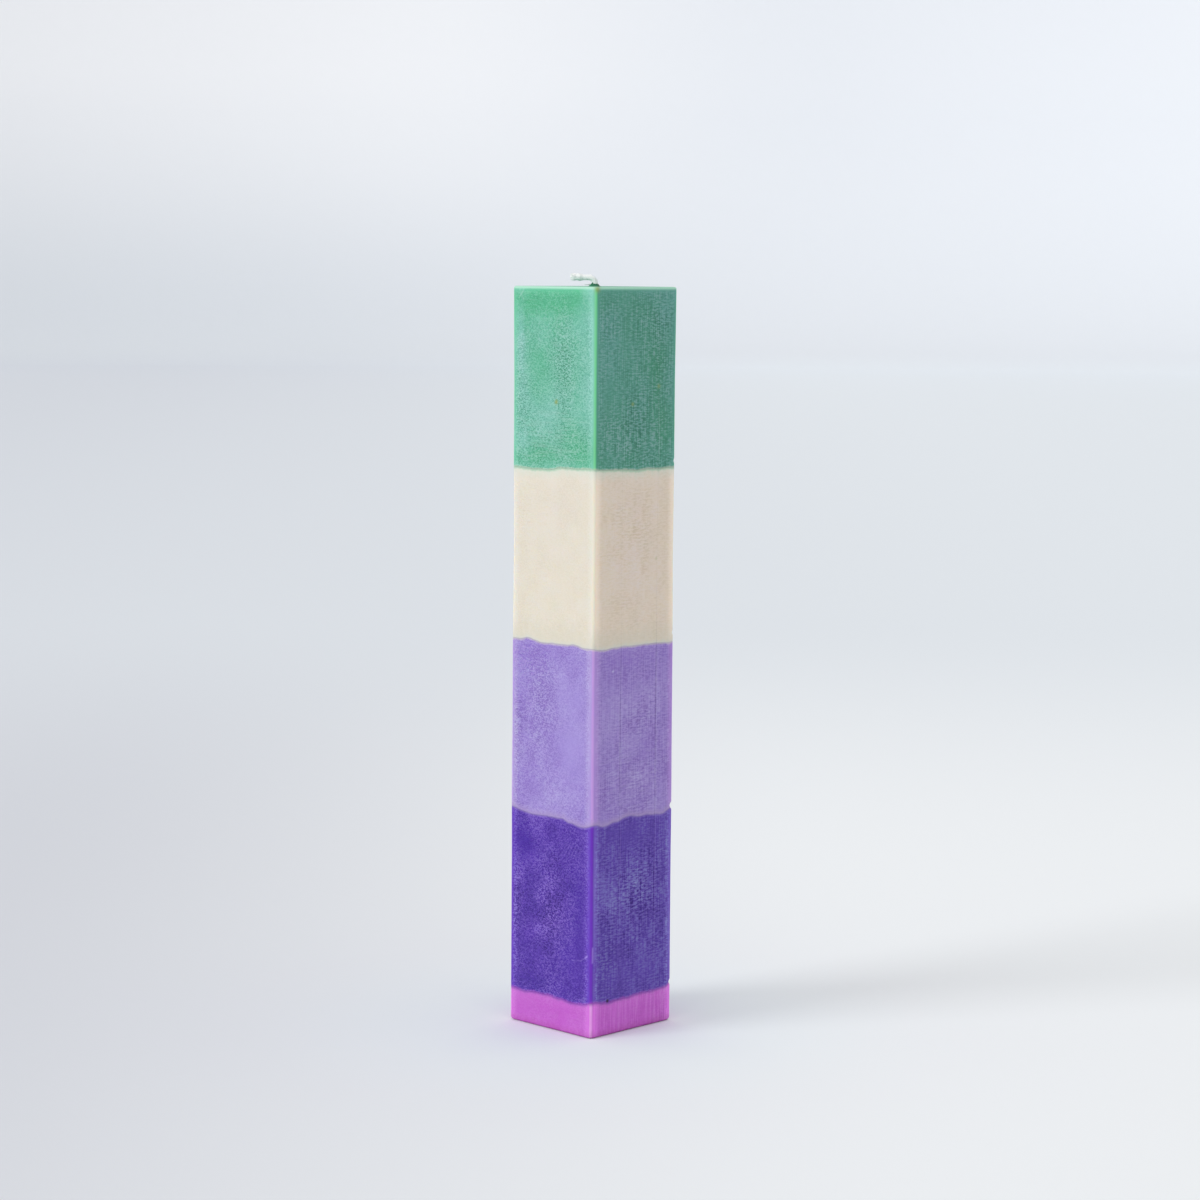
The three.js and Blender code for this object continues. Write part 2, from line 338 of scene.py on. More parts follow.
def joint_surface(level, swells, seed):
    """The shared surface of two pours: wavy at the wall, and domed where the pour below sank."""
    def surface(place, inward):
        rise = JOINT_WAVER * lumps(place, 0 * place, wide=2, tall=5, seed=seed)
        for crest, swell, reach in swells:
            away = np.clip(from_place(place, crest) / reach, -1, 1)
            rise = rise + swell / 2 * (1 + np.cos(math.pi * away))
        return level + rise * (1 - inward) ** 2 + POUR_SINK * inward * inward * (3 - 2 * inward)
    return surface


NIB_REACH = 1.7
NIB_CLIMB = 0.8
NIB_FLARE = 1.6
UNDER_BEND_REACH = 0.7
UNDER_BEND_CLIMB = 0.5
UNDER_BEND_FOCUS = 3
TOP_HOLLOW = 0.12


def top_surface(place, inward):
    """The level top and the nib round the wick, which the wax climbs highest under the wick's bend."""
    radius = BORE_RADIUS + (1 - inward) * (HALF - BORE_RADIUS)
    under_bend = ((1 + np.cos(2 * math.pi * (place - LEFT_EDGE) / GIRTH)) / 2) ** UNDER_BEND_FOCUS
    reach = NIB_REACH + UNDER_BEND_REACH * under_bend
    climb = np.clip((reach - radius) / (reach - BORE_RADIUS), 0, 1)
    hollow = TOP_HOLLOW * np.clip(inward * 3, 0, 1) * (1 - climb)
    return TOP_LEVEL + (NIB_CLIMB + UNDER_BEND_CLIMB * under_bend) * climb ** NIB_FLARE - hollow


# How strongly columns of faces are drawn to an upright edge or a score line, and from how far off
EDGE_PULL = (0.35, 2.2)
SCORE_PULL = (0.55, 1.4)


def wall_columns():
    """Places of the upright columns of faces: even, but closer at the edges and at the score lines."""
    place = np.arange(COLUMNS) / COLUMNS * GIRTH
    pulls = [(edge * SIDE, *EDGE_PULL) for edge in range(4)] + [(score[0], *SCORE_PULL) for score in SCORES]
    for centre, pull, reach in pulls:
        away = from_place(place, centre)
        place = place - pull * away * np.exp(-(away / reach) ** 2)
    return place % GIRTH


def square_wall(place):
    """Point on the square wall, and the way it faces there, at a place round it from the front edge."""
    straight = SIDE - 2 * UPRIGHT_EDGE_RADIUS
    half_arc = UPRIGHT_EDGE_RADIUS * math.pi / 4
    length = straight + 2 * half_arc
    quarter, along = np.divmod(place / SIDE * length, length)
    turn = np.clip(along / half_arc, 0, 1) + np.clip((along - half_arc - straight) / half_arc, 0, 1)
    angle = math.radians(225) + turn * math.pi / 4
    x = np.clip(along - half_arc, 0, straight) - straight / 2 + UPRIGHT_EDGE_RADIUS * np.cos(angle)
    y = UPRIGHT_EDGE_RADIUS * np.sin(angle) - straight / 2
    corner = quarter * math.pi / 2
    point = np.stack([x * np.cos(corner) - y * np.sin(corner), x * np.sin(corner) + y * np.cos(corner)], 1)
    angle = angle + corner
    return point, np.stack([np.cos(angle), np.sin(angle)], 1)


# How strongly the mould's combed lines show, and the painted shade of the side away from the lamp: most on
# the front right side, and not on the front left one
COMBED_AND_SHADED_PLACES = [0, 1, 39, 41, 79, 81, 119, 121, 159, 160]
COMBED_AND_SHADED_SHARES = [0.5, 1, 1, 0.7, 0.7, 0.35, 0.35, 0, 0, 0.5]


def combing_and_side_shade(place):
    """Strength of the combed lines and the painted side shade, at a place round the wall."""
    return np.interp(place, COMBED_AND_SHADED_PLACES, COMBED_AND_SHADED_SHARES)


# The lip along a score line: its height as a share of the depth, and its distance in half widths
LIP_SHARE = 0.5
LIP_OFFSET = 2.6


def score_lines(place, height):
    """Depth of the score lines, and the raised lip along each."""
    depth = np.zeros_like(place)
    for line, deep, half_width in SCORES:
        away = from_place(place, line) - SCORE_LEAN * (height - MIDDLE_LEVEL)
        worn = 0.8 + 0.3 * lumps(place, height, wide=SIDE, tall=14, seed=13)
        worn = worn * np.interp(height, SCORE_LEVELS, SCORE_SHARES)
        depth += deep * worn * np.exp(-(away / half_width) ** 2)
        depth -= LIP_SHARE * deep * worn * np.exp(-((away - LIP_OFFSET * half_width) / half_width) ** 2)
    return depth


def nick_depth(place, height):
    """Depth of the nicks, each deepest in its middle."""
    depth = np.zeros_like(place)
    for centre, level, deep, half_width, half_height in NICKS:
        away = from_place(place, centre) / half_width
        rise = (height - level) / half_height
        depth += deep * np.clip(1 - np.sqrt(away ** 2 + rise ** 2), 0, 1)
    return depth


def scratch_marks(place, height):
    """Strength of the fine scratches, that of the strongest where some cross."""
    marks = np.zeros_like(place)
    for start, low, end, high, half_width, strength in SCRATCHES:
        run, rise = end - start, high - low
        past, up = from_place(place, start), height - low
        share = np.clip((past * run + up * rise) / (run ** 2 + rise ** 2), 0, 1)
        off = np.hypot(past - share * run, up - share * rise) / half_width
        marks = np.maximum(marks, strength * np.exp(-off ** 2))
    return marks


def specks_of_dye(place, height):
    """Strength of the specks, below 0 in a dark crumb."""
    specks = np.zeros_like(place)
    for centre, level, radius, strength in SPECKS:
        off = np.hypot(from_place(place, centre), height - level) / radius
        specks += strength * np.exp(-off ** 2)
    return specks


RIPPLE_PITCH = 1.25
RIPPLE_RISE = 0.011
DRAG_RISE = 0.010
WRINKLE_RISE = 0.017
WAVE_RISE = 0.03


def skin_relief(place, height):
    """Small hills of the cast skin: level ripples, upright drag lines, wrinkles and soft waves."""
    comb = combing_and_side_shade(place)
    patch = np.clip(0.55 + 0.9 * lumps(place, height, wide=8, tall=9, seed=3), 0.1, 1)
    drift = 0.3 * lumps(place, height, wide=11, tall=7, seed=5) + 0.5 * np.sin(place / SIDE * math.pi)
    ripple = np.sin(2 * math.pi * (height + drift) / RIPPLE_PITCH)
    drag = lumps(place, height, wide=0.95, tall=70, seed=11)
    wrinkle = lumps(place, height, wide=1.0, tall=0.62, seed=7)
    wave = lumps(place, height, wide=5, tall=6, seed=9)
    relief = RIPPLE_RISE * (0.35 + 0.65 * comb) * patch * ripple + DRAG_RISE * (0.15 + 0.85 * comb) * drag
    return relief + WRINKLE_RISE * (1.1 - 0.4 * comb) * patch * wrinkle + WAVE_RISE * wave


WALL_PLACES = wall_columns()
HAIR = 0.01
ROLL_SEGMENTS = 5

# Rings of an end face crowd towards the bore, but those on its rim stay where they are
RIM_SHARE = 0.06
RING_CROWDING = 1.8

# How far the skin, a scratch and the hollow of a side take the wall in from the mould's line, and how deep
# under the wall that still tells
SKIN_DEPTH = 0.03
SCRATCH_DEPTH = 0.04
SIDE_DRAW = 0.12
WALL_THICKNESS = 1.2

# The upright edges stay clear of the small hills, and these fade in beside them
EDGE_CLEAR = 1.2
EDGE_FADE = 3

# Frost and roughness of a bare wall, how the end faces show it, and the wax-soaked spot round the wick, also
# darkened with painted shade under the wick's bend
PLAIN_FROST = 0.45
PLAIN_ROUGHNESS = 0.7
END_SPREAD = 3.5
END_COMBING_AND_SHADE = 0.2
CLEAR_ROUND_WICK = 4
SOAKED_SHADE_REACH = 1.6
SOAKED_SHADE_FADE = 0.7
RELIEF_UNIT = 0.05


def cast_pour(node, under, over, low, high, under_rings, over_rings, frost, coarse, rolled=(), patchy=1.0):
    """One cast layer: a round blank with its bore, cut into rows, then squared up between its joints.

    Frost and coarse list spots on the wall: place, height, half width, half height and amount.
    """
    def lies_at(vertex, radius, level):
        reach = math.hypot(vertex.co.x, vertex.co.y)
        return abs(reach - radius) < HAIR and abs(vertex.co.z - level) < HAIR

    def stretch(edge):
        """How far an edge climbs, and how far it runs outwards."""
        start, end = (Vector((math.hypot(v.co.x, v.co.y), v.co.z)) for v in edge.verts)
        return abs(start.y - end.y), abs(start.x - end.x)

    blank = bmesh.new()
    corners = [(BORE_RADIUS, low), (HALF, low), (HALF, high), (BORE_RADIUS, high)]
    section = [blank.verts.new((radius, 0, level)) for radius, level in corners]
    sides = [blank.edges.new((section[i - 1], section[i])) for i in range(4)]
    bmesh.ops.spin(
        blank, geom=section + sides, cent=(0, 0, 0), axis=(0, 0, 1), angle=2 * math.pi, steps=COLUMNS,
        use_merge=True,
    )
    bmesh.ops.remove_doubles(blank, verts=blank.verts, dist=HAIR / 10)
    for level, radius in rolled:
        rim = [edge for edge in blank.edges if all(lies_at(v, HALF, level) for v in edge.verts)]
        bmesh.ops.bevel(
            blank, geom=rim, offset=radius, offset_type="OFFSET", segments=ROLL_SEGMENTS, profile=0.5,
            affect="EDGES", clamp_overlap=False, material=-1,
        )
    uprights = [
        edge for edge in blank.edges
        if stretch(edge)[0] > (high - low) / 2 and math.hypot(*edge.verts[0].co.xy) > HALF / 2
    ]
    rows = round((high - low) / ROW_HEIGHT)
    bmesh.ops.subdivide_edges(blank, edges=uprights, cuts=rows, use_grid_fill=True)
    for level, rings in ((low, under_rings), (high, over_rings)):
        spokes = [
            edge for edge in blank.edges
            if stretch(edge)[1] > HALF / 2 and abs(edge.verts[0].co.z - level) < HAIR
        ]
        bmesh.ops.subdivide_edges(blank, edges=spokes, cuts=rings, use_grid_fill=True)
    bmesh.ops.recalc_face_normals(blank, faces=blank.faces)
    mesh = bpy.data.meshes.new(node)
    blank.to_mesh(mesh)
    blank.free()

    points = np.empty(len(mesh.vertices) * 3)
    mesh.vertices.foreach_get("co", points)
    points = points.reshape(-1, 3)
    radius = np.hypot(points[:, 0], points[:, 1])
    angle = np.arctan2(points[:, 1], points[:, 0])
    place = WALL_PLACES[np.rint(angle / (2 * math.pi) * COLUMNS).astype(int) % COLUMNS]
    inward = np.clip((HALF - radius) / (HALF - BORE_RADIUS), 0, 1)
    beyond_rim = np.clip((inward - RIM_SHARE) / (1 - RIM_SHARE), 0, 1)
    crowded = RIM_SHARE + (1 - RIM_SHARE) * (1 - (1 - beyond_rim) ** RING_CROWDING)
    inward = np.where(inward > RIM_SHARE, crowded, inward)
    climb = np.clip((points[:, 2] - low) / (high - low), 0, 1)
    bottom, top = under(place, inward), over(place, inward)
    height = bottom + (top - bottom) * climb
    wall, facing = square_wall(place)
    plan = wall * (1 - inward)[:, None] + BORE_RADIUS * facing * inward[:, None]
    off_edge = np.minimum(place % SIDE, SIDE - place % SIDE)
    from_edge = off_edge.copy()
    if high == TOP_LEVEL:
        from_edge = np.minimum(from_edge, TOP_LEVEL - height)
    at_wall = np.clip(1 - (HALF - radius) / WALL_THICKNESS, 0, 1)
    scores = score_lines(place, height)
    flat = np.clip((off_edge - EDGE_CLEAR) / EDGE_FADE, 0, 1)
    hollow = SIDE_DRAW * (1 - (1 - off_edge / HALF) ** 2) * np.sin(climb * math.pi)
    drawn = np.interp(height, DRAW_LEVELS, DRAW_DEPTHS) + hollow
    scratched = scratch_marks(place, height)
    relief = skin_relief(place, height) * flat - SCRATCH_DEPTH * scratched
    nicks = nick_depth(place, height)
    plan += facing * (np.minimum(relief - SKIN_DEPTH - scores - nicks - drawn, 0) * at_wall)[:, None]
    mesh.vertices.foreach_set("co", (np.column_stack([plan, height]) * MM).ravel())

    # What the finish follows: the joints and edges near by, the combing, the score lines and the frost
    on_end = at_wall < 0.5
    from_axis = np.hypot(plan[:, 0], plan[:, 1])
    from_outline = HALF - np.abs(plan).max(axis=1)
    across_end = np.where(on_end, END_SPREAD * plan[:, 0], place)
    along_end = np.where(on_end, END_SPREAD * plan[:, 1], height)
    drifts = 0.16 * lumps(across_end, along_end, wide=9, tall=11, seed=17)
    drifts = drifts + 0.1 * lumps(across_end, along_end, wide=3, tall=4, seed=19)
    cloud = PLAIN_FROST + patchy * drifts
    roughness = PLAIN_ROUGHNESS + 0.2 * patchy * lumps(across_end, along_end, wide=7, tall=8, seed=23)
    for spots, field in ((frost, cloud), (coarse, roughness)):
        for centre, level, wide, tall, amount in spots:
            away = (from_place(place, centre) / wide) ** 2 + ((height - level) / tall) ** 2
            field += np.where(on_end, 0, amount * np.exp(-away))
    # Round the wick the frost clears and the wax darkens: wax soaked round it, and painted shade under the
    # bend
    cloud -= np.where(on_end, np.exp(-(from_axis / CLEAR_ROUND_WICK) ** 2), 0)
    soaked = np.exp(-np.maximum(from_axis - SOAKED_SHADE_REACH, 0) / SOAKED_SHADE_FADE)
    notes = {
        "above_joint": height - bottom,
        "below_joint": top - height,
        "from_edge": np.where(on_end, from_outline, from_edge),
        "from_top_edge": np.hypot(TOP_LEVEL - height, from_outline),
        "combing_and_side_shade": np.where(on_end, END_COMBING_AND_SHADE, combing_and_side_shade(place)),
        "scored": np.where(on_end, 0, scores),
        "nicked": nicks * at_wall,
        "frost": np.clip(cloud, 0, 1.6),
        "by_wick": np.where(on_end, soaked, 0),
        "coarse": np.clip(roughness, 0, 1.5),
        "relief": np.where(on_end, 0, relief / RELIEF_UNIT),
        "scratched": np.where(on_end, 0, scratched),
        "speck": np.where(on_end, 0, specks_of_dye(place, height)),
    }
    for name, values in notes.items():
        mesh.attributes.new(name, "FLOAT", "POINT").data.foreach_set("value", values.astype(np.float32))
    mesh.polygons.foreach_set("use_smooth", [True] * len(mesh.polygons))
    piece = bpy.data.objects.new(node + "_cast", mesh)
    bpy.context.scene.collection.objects.link(piece)
    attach(piece, "root")
    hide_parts(node)
    return piece


# Tints of what lies on the wax or in it, the painted shade in the score lines' grooves and round the wick,
# and how strongly the frost and its strokes show
SOAKED_AND_SHADED_TINT = (0.2, 0.36, 0.3, 1)
PAINTED_GROOVE_SHADE = (0.45, 0.42, 0.5, 1)
YELLOW_DYE = (0.30, 0.36, 0.06, 1)
DARK_CRUMB = (0.03, 0.0, 0.05, 1)
FROST_BLOOM = 0.3
STROKE_LIGHT = 0.6
STROKE_DARK = 0.7
WAX_IOR = 1.44
BUMP_STRENGTH = 0.8
BUMP_HEIGHT = 0.06


def cast_wax(
    name, dye, frost, rim, edge, shaded_side_tint, glow, scale, foot_bleed_and_shade=(), head_bleed=(), contrast=1.0,
    upright_share=0.5, shaded_side_rim_glow=None, top_rim_glow=None, shaded_side_edge_glow=(1.1, 1.1, 1.1, 1), combed_light=1.0,
    ripples=0.3, crystal=(0.8, 0.84, 0.9, 1), hollow=(0.6, 0.6, 0.66, 1),
):
    """Dyed wax with its frost of crystals, a painted glow along its edges, painted shade on the side away
    from the lamp, and dye that bled in from the pours beside it.

    A bleed is a tint, how far it reaches from the joint, and how strong it is there. On the magenta foot the
    bleed below is painted contact shade along the floor.
    """
    material = bpy.data.materials.new(name)
    material.use_nodes = True
    tree = material.node_tree

    def note(name):
        return add_node(tree, "ShaderNodeAttribute", output="Fac", attribute_name=name)

    def fade(name, start, end, low=0.0, high=1.0):
        return ramp(tree, note(name), start, end, low, high)

    def times(first, second):
        return calculate(tree, "MULTIPLY", first, second)

    def noise(vector, size, stretch, detail=1.0, distortion=0.0):
        scaled = add_node(tree, "ShaderNodeMapping", {"Vector": vector, "Scale": stretch})
        settings = {"Vector": scaled, "Scale": 1 / (size * MM), "Detail": detail, "Distortion": distortion}
        return add_node(tree, "ShaderNodeTexNoise", settings)

    def crisp(value, softness):
        """Spreads a noise to -1 in its hollows and 1 on its hills, so that it reads as separate strokes."""
        return ramp(tree, value, 0.5 - softness, 0.5 + softness, low=-1, high=1)

    position = add_node(tree, "ShaderNodeTexCoord", output="Object")
    parts = add_node(tree, "ShaderNodeSeparateXYZ", {0: position}).node
    along = calculate(tree, "ADD", parts.outputs["X"], parts.outputs["Y"])
    unrolled = add_node(tree, "ShaderNodeCombineXYZ", {"X": along, "Z": parts.outputs["Z"]})

    # Strokes of frost: curls everywhere, and level and upright lines where the mould was combed
    combed_and_shaded = note("combing_and_side_shade")
    curls = crisp(noise(position, size=0.7, stretch=(1, 1, 1.7), detail=1.8, distortion=0.9), softness=0.11)
    curls = times(curls, 0.6)
    level_lines = crisp(noise(unrolled, size=0.58, stretch=(0.28, 1, 1), detail=1.8), softness=0.11)
    upright_lines = crisp(noise(unrolled, size=0.46, stretch=(1, 1, 0.035), detail=1.5), softness=0.1)
    lined = times(between(tree, upright_share, level_lines, upright_lines), 1.2)
    skin = between(tree, times(combed_and_shaded, 0.6), curls, lined)
    # The skin's relief shows in the strokes too: partly frost, partly painted light and shade of its small
    # hills
    skin = calculate(tree, "ADD", skin, times(note("relief"), ripples))
    strength = times(times(note("coarse"), fade("from_edge", 0.5, 2.6)), contrast)

    # The dye, its frost, and the strokes on it
    colour = blend(tree, calculate(tree, "MINIMUM", note("frost"), 1.0), dye, frost)
    pale = blend(tree, FROST_BLOOM, frost, crystal)
    colour = blend(tree, fade("frost", 0.9, 1.5, high=0.8), colour, pale)
    # Light strokes take the pale frost and dark ones the dye with the hollow tint: partly frost lying
    # thicker or thinner, and partly painted light and shade of the skin's small hills
    light_share = between(tree, combed_and_shaded, STROKE_LIGHT, STROKE_LIGHT * combed_light)
    light = times(times(calculate(tree, "MAXIMUM", skin, 0.0), strength), light_share)
    colour = blend(tree, light, colour, pale)
    dark = times(times(calculate(tree, "MINIMUM", skin, 0.0), strength), -STROKE_DARK)
    colour = blend(tree, dark, colour, blend(tree, 1.0, dye, hollow, "MULTIPLY"))
    # Painted shade of the side away from the lamp: its own tint, by the share that the combing gives
    colour = blend(tree, combed_and_shaded, colour, shaded_side_tint, "MULTIPLY")

    # Edges: a painted glow beside them, where the wax is thin and light comes through, more on the side away
    # from the lamp, and a painted glow on the very edge
    glow_beside_edge = times(fade("from_edge", 0.2, 1.2, low=0.5), fade("from_edge", 1.4, 4.2, low=1.0, high=0.0))
    colour = blend(tree, glow_beside_edge, colour, edge, "MULTIPLY")
    colour = blend(tree, times(glow_beside_edge, combed_and_shaded), colour, shaded_side_edge_glow, "MULTIPLY")
    rim = blend(tree, combed_and_shaded, rim, shaded_side_rim_glow or rim)
    colour = blend(tree, fade("from_edge", 0.2, 0.85, low=0.85, high=0.0), colour, rim)
    # Painted glow along the top edge
    if top_rim_glow:
        colour = blend(tree, fade("from_top_edge", 0.3, 1.4, low=0.9, high=0.0), colour, top_rim_glow)
    # The spot round the wick: soaked wax, and painted shade under the wick's bend
    colour = blend(tree, note("by_wick"), colour, blend(tree, 1.0, dye, SOAKED_AND_SHADED_TINT, "MULTIPLY"))

    # Dye from the pours beside it, wavering along the joint. On the magenta foot the bleed below is painted
    # contact shade along the floor.
    for distance, bleed in (("above_joint", foot_bleed_and_shade), ("below_joint", head_bleed)):
        for tint, reach, amount in bleed:
            waver = calculate(tree, "SUBTRACT", noise(position, size=1.2, stretch=(1, 1, 0.5)), 0.5)
            near = calculate(tree, "ADD", note(distance), times(waver, 0.7 * reach))
            colour = blend(tree, ramp(tree, near, 0.0, reach, low=amount, high=0.0), colour, tint)

    # Marks: score lines with painted shade in their grooves, their lips, nicks, scratches, specks and crumbs
    colour = blend(tree, fade("scored", 0.0, 0.1, high=0.35), colour, PAINTED_GROOVE_SHADE, "MULTIPLY")
    colour = blend(tree, fade("scored", -0.06, 0.0, low=0.4, high=0.0), colour, pale)
    colour = blend(tree, fade("nicked", 0.02, 0.4, high=0.6), colour, rim)
    colour = blend(tree, note("scratched"), colour, blend(tree, 0.5, pale, crystal))
    colour = blend(tree, note("speck"), colour, YELLOW_DYE)
    colour = blend(tree, times(note("speck"), -1.0), colour, DARK_CRUMB)

    shader = tree.nodes["Principled BSDF"]
    tree.links.new(colour, shader.inputs["Base Color"])
    from_joint = calculate(tree, "MINIMUM", note("above_joint"), note("below_joint"))
    tree.links.new(ramp(tree, from_joint, 0.0, 3.0 * scale, high=0.9), shader.inputs["Subsurface Weight"])
    shader.inputs["Subsurface Radius"].default_value = glow
    shader.inputs["Subsurface Scale"].default_value = scale * MM
    tree.links.new(fade("frost", 0.0, 1.0, low=0.4, high=0.62), shader.inputs["Roughness"])
    shader.inputs["IOR"].default_value = WAX_IOR
    bump = {"Strength": BUMP_STRENGTH, "Distance": BUMP_HEIGHT * MM, "Height": times(skin, strength)}
    tree.links.new(add_node(tree, "ShaderNodeBump", bump), shader.inputs["Normal"])
    return material


JOINT_RINGS = 5
TOP_RINGS = 26

# The colours of the five waxes under their frost
GREEN = (0.08, 0.455, 0.25, 1)
CREAM = (0.74, 0.69, 0.55, 1)
LAVENDER = (0.285, 0.185, 0.575, 1)
VIOLET = (0.055, 0.003, 0.345, 1)
MAGENTA = (0.51, 0.085, 0.535, 1)
green_cream_joint = joint_surface(GREEN_CREAM_LEVEL, GREEN_CREAM_SWELLS, seed=21)
green = cast_pour(
    "green_wax_layer", green_cream_joint, top_surface, GREEN_CREAM_LEVEL, TOP_LEVEL,
    under_rings=JOINT_RINGS, over_rings=TOP_RINGS, rolled=[(TOP_LEVEL, TOP_EDGE_RADIUS)],
    frost=[
        (124.2, 234, 1.6, 14, 0.6), (125.5, 214, 3, 16, 0.45), (140, 251, 26, 6, -0.6),
        (134, 229, 7, 9, -0.3), (156, 225, 4, 26, 0.25), (138, 211, 16, 9, 0.25), (154, 199, 6, 5, -0.5),
        (149, 206, 7, 8, -0.5), (132, 198, 14, 3, -0.4), (158.2, 225, 1.6, 70, 0.2), (157, 253, 4, 5, 0.3),
        (7, 232, 5, 16, 0.3), (19, 238, 5, 12, 0.1), (20, 214, 9, 10, 0.15), (31, 224, 4, 14, -0.4),
        (33.5, 246, 4.5, 8, 0.4), (36, 230, 3, 16, 0.2), (32, 205, 6, 8, -0.3),
    ],
    coarse=[
        (140, 252, 30, 8, -0.45), (144, 232, 6, 10, 0.9), (145, 218, 7, 7, 0.4), (140, 203, 16, 8, 0.35),
        (125, 222, 3, 18, 0.3), (20, 208, 12, 14, 0.6), (31, 240, 6, 12, 0.5), (7, 240, 5, 8, 0.2),
        (8, 215, 6, 9, -0.3),
    ],
)
green.data.materials.append(cast_wax(
    "green_wax", GREEN, frost=(0.225, 0.555, 0.47, 1), rim=(0.30, 0.72, 0.42, 1),
    edge=(1.3, 1.14, 1.17, 1), shaded_side_tint=(0.575, 0.65, 0.69, 1), glow=(0.5, 1.0, 0.7), scale=0.9,
    foot_bleed_and_shade=[(CREAM, 0.9, 0.45)], contrast=1.35, upright_share=0.42, combed_light=1.35,
    shaded_side_rim_glow=(0.12, 0.66, 0.25, 1), top_rim_glow=(0.44, 0.76, 0.6, 1), shaded_side_edge_glow=(0.85, 0.92, 0.92, 1),
))

# Cream wax
# The second pour, of undyed wax, cast on the green while that was still soft, so that the two are fused
# along a wavy joint. Dye has crept into it from the pours on both sides.
CREAM_LAVENDER_LEVEL = 133.8
CREAM_LAVENDER_SWELLS = [
    (-33, 1.1, 10), (-10, 0.7, 8), (5, -0.7, 8), (33, -0.5, 16), (62, 0.6, 13), (90, -0.7, 14),
    (-35.5, -0.5, 3), (-31.5, 0.2, 2.5), (-19, 0.28, 6), (-12, -0.25, 3), (-4.5, -0.35, 3.5),
    (12, -0.3, 4), (19, -0.35, 7), (30, 0.2, 4), (37.5, -0.3, 3),
]
cream_lavender_joint = joint_surface(CREAM_LAVENDER_LEVEL, CREAM_LAVENDER_SWELLS, seed=22)
cream = cast_pour(
    "cream_wax_layer", cream_lavender_joint, green_cream_joint, CREAM_LAVENDER_LEVEL, GREEN_CREAM_LEVEL,
    under_rings=JOINT_RINGS, over_rings=JOINT_RINGS, patchy=0.5,
    # The two spots of thinner frost beside the front right side's upright edges are a painted peach glow
    frost=[(140, 170, 10, 20, 0.1), (20, 170, 9, 20, 0.3), (4, 165, 4, 25, -0.2), (36, 165, 3, 25, -0.2)],
    coarse=[(140, 165, 24, 40, -0.1), (18, 168, 13, 22, 0.6)],
)
cream.data.materials.append(cast_wax(
    "cream_wax", CREAM, frost=(0.735, 0.67, 0.60, 1), rim=(0.79, 0.76, 0.64, 1),
    edge=(1.02, 1.05, 1.09, 1), shaded_side_tint=(1.035, 0.965, 0.95, 1), glow=(1.0, 0.75, 0.5), scale=2.8,
    foot_bleed_and_shade=[
        ((0.60, 0.57, 0.45, 1), 10.0, 0.45), ((0.62, 0.63, 0.57, 1), 1.8, 0.7), (LAVENDER, 0.5, 0.35),
    ],
    head_bleed=[((0.62, 0.71, 0.61, 1), 4.0, 0.5), (GREEN, 1.0, 0.5)], contrast=0.75, upright_share=0.2,
    ripples=0.9, hollow=(0.84, 0.81, 0.78, 1), shaded_side_edge_glow=(1.12, 1.11, 1.1, 1),
))

# Lavender wax
# The third pour, of dyed wax, cast on the cream and fused to it. Its last few millimetres are greyer,
# where the hot violet pour melted them again.
LAVENDER_VIOLET_LEVEL = 73.9
LAVENDER_VIOLET_SWELLS = [
    (-40, 1.6, 8), (-20, 0.3, 9), (-5, -1.5, 8), (6, -1.2, 6), (18, 0.8, 8), (41, 1.1, 7), (66, -0.7, 15),
    (96, 0.6, 14), (-33, 0.4, 5), (-14, 0.3, 3), (-11.5, -0.45, 3), (4, -0.15, 5), (12.5, -0.5, 3),
    (18.7, 0.2, 2), (26.5, 0.4, 4), (34.5, -0.35, 3.5), (38.5, 0.4, 2.5),
]
lavender_violet_joint = joint_surface(LAVENDER_VIOLET_LEVEL, LAVENDER_VIOLET_SWELLS, seed=23)
lavender = cast_pour(
    "lavender_wax_layer", lavender_violet_joint, cream_lavender_joint, LAVENDER_VIOLET_LEVEL,
    CREAM_LAVENDER_LEVEL, under_rings=JOINT_RINGS, over_rings=JOINT_RINGS,
    frost=[
        (134, 131, 16, 5, -0.35), (151, 104, 10, 24, 0.35), (130, 112, 6, 8, -0.3), (127, 86, 4, 8, -0.35),
        (122, 106, 2, 12, 0.2), (143, 80, 14, 5, 0.15), (7, 108, 6, 13, 0.4), (20, 130, 20, 4, -0.4),
        (22, 112, 10, 7, 0.1), (24, 84, 12, 8, -0.05), (36, 100, 3, 20, -0.2),
    ],
    coarse=[
        (134, 110, 6, 16, 0.5), (123, 100, 3, 14, 0.5), (150, 100, 6, 18, -0.3), (25, 107, 10, 9, 0.4),
        (16, 84, 14, 8, 0.3), (7, 115, 5, 10, -0.3), (20, 130, 18, 4, -0.2),
    ],
)
lavender.data.materials.append(cast_wax(
    "lavender_wax", LAVENDER, frost=(0.365, 0.285, 0.64, 1), rim=(0.58, 0.36, 0.74, 1),
    edge=(1.27, 1.35, 1.08, 1), shaded_side_tint=(1.03, 1.0, 1.0, 1), glow=(1.0, 0.6, 1.0), scale=1.3,
    foot_bleed_and_shade=[((0.37, 0.28, 0.53, 1), 3.0, 0.7), (VIOLET, 0.7, 0.4)], head_bleed=[(CREAM, 0.8, 0.45)],
    contrast=1.25, upright_share=0.42, combed_light=0.8, ripples=0.5, hollow=(0.7, 0.63, 0.76, 1),
    shaded_side_edge_glow=(1.02, 0.87, 1.02, 1),
))

